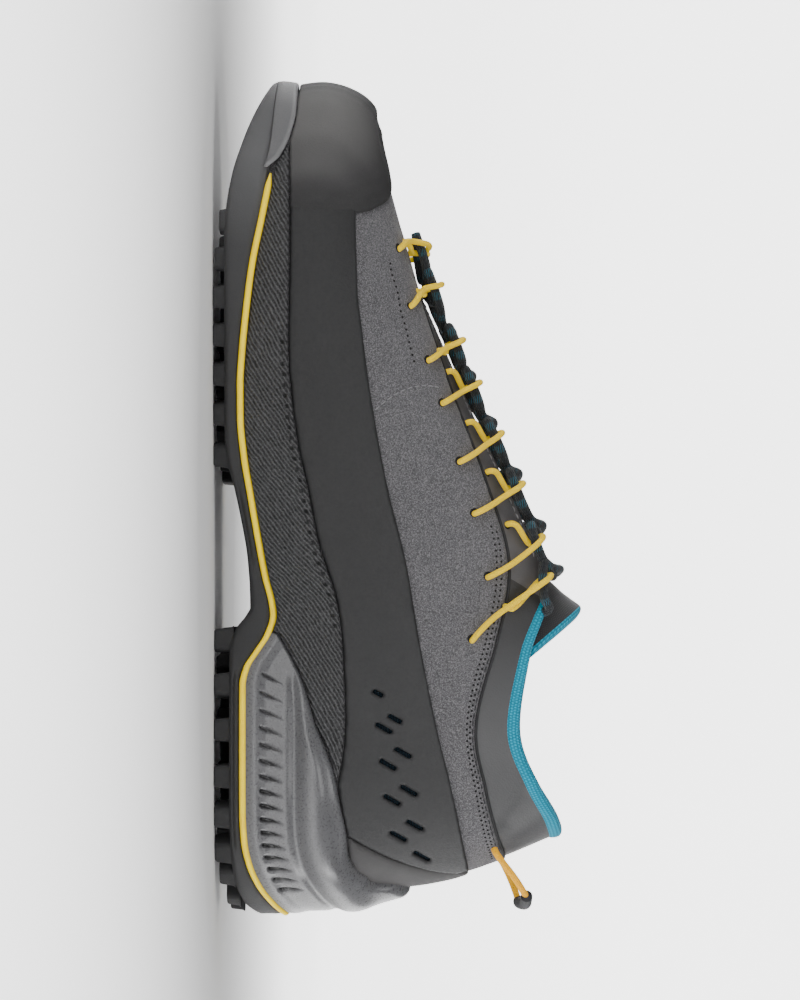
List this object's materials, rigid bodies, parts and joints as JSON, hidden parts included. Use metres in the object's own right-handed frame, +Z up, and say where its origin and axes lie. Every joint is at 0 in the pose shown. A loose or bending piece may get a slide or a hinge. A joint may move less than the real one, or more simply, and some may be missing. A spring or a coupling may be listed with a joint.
{
  "type": "approach shoe",
  "caption": "Right-foot low-cut lace-up approach shoe with rubber toe cap and rand, padded collar, cord lace loops, heel pull loop and a lugged rubber sole.",
  "frame": {"origin": "middle of the footprint on the ground", "axes": "+X towards the toe, +Y towards the big-toe side, +Z up"},
  "size_m": [0.2958, 0.109, 0.1297],
  "materials": {
    "rubber": "matte moulded rubber",
    "bead": "smooth yellow rubber",
    "foam": "satin moulded foam",
    "insole": "dark brushed fabric with an orange heel field",
    "suede": "fine-napped grey suede",
    "rand": "matte dark grey rubber, ribbed low on the sides",
    "panel": "smooth dark coated microfibre",
    "tongue": "padded woven fabric with a teal edge",
    "lace": "round braided black cord",
    "cord": "round braided yellow cord"
  },
  "bodies": {
    "root": {"outsole": "rubber", "sole_bead": "bead", "midsole": "foam", "insole": "insole", "upper": "suede", "rand_medial": "rand", "rand_lateral": "rand", "side_panel_medial": "panel", "side_panel_lateral": "panel", "heel_counter": "rand", "toe_cap": "rand", "tongue": "tongue", "lace": "lace", "loop_medial_1": "cord", "loop_medial_2": "cord", "loop_medial_3": "cord", "loop_medial_4": "cord", "loop_medial_5": "cord", "loop_medial_6": "cord", "loop_medial_7": "cord", "loop_medial_8": "cord", "loop_lateral_1": "cord", "loop_lateral_2": "cord", "loop_lateral_3": "cord", "loop_lateral_4": "cord", "loop_lateral_5": "cord", "loop_lateral_6": "cord", "loop_lateral_7": "cord", "loop_lateral_8": "cord", "pull_cord_medial": "cord", "pull_cord_lateral": "cord", "pull_sleeve": "lace"}
  },
  "joints": []
}
